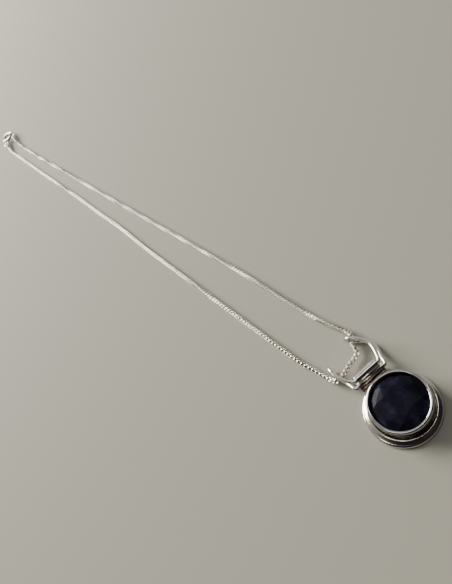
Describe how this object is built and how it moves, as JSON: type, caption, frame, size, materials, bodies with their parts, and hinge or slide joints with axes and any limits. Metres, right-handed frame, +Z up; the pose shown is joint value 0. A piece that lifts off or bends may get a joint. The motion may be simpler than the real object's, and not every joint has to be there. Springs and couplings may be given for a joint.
{
  "type": "pendant necklace",
  "caption": "Round bezel-set faceted stone pendant on a hinged wire bail, threaded on a box chain with a spring ring clasp.",
  "frame": {"origin": "centre of the back face of the pendant's back plate, on the surface the necklace lies on", "axes": "+Z up, out of the face of the stone; +Y from the pendant through its bail towards the clasp; +X to the right of the pendant seen from the front"},
  "size_m": [0.059, 0.2386, 0.0048],
  "materials": {
    "silver": "polished sterling silver",
    "chain": "polished sterling silver box links",
    "stone": "polished faceted dark blue stone, nearly opaque",
    "spring_steel": "drawn steel wire"
  },
  "bodies": {
    "bail_and_chain": {"hinge_pin": "silver", "front_bar": "silver", "bail_leg_right": "silver", "bail_leg_left": "silver", "chain_right": "chain", "chain_left": "chain", "end_cap_right": "silver", "end_cap_left": "silver", "end_ring": "silver", "clasp_jump_ring": "silver", "clasp_eye": "silver", "clasp_case": "silver", "clasp_spring": "spring_steel"},
    "pendant": {"gemstone": "stone", "bezel_cup": "silver", "stone_seat": "silver", "base_plate": "silver", "rim_ring": "silver", "hinge_tube": "silver"},
    "clasp_tongue": {"clasp_tongue": "silver"}
  },
  "joints": [
    {"name": "pendant_hinge", "type": "hinge", "parent": "bail_and_chain", "child": "pendant", "pos_m": [0, 0.00875, 0.00155], "axis": [-1, 0, 0], "range_deg": [0, 38]},
    {"name": "clasp_tongue_slide", "type": "hinge", "parent": "bail_and_chain", "child": "clasp_tongue", "pos_m": [-0.047, 0.227, 0.0015], "axis": [0, 0, 1], "range_deg": [0, 62], "stiffness_Nm_per_rad": 0.0004, "springref_deg": -17.19}
  ]
}
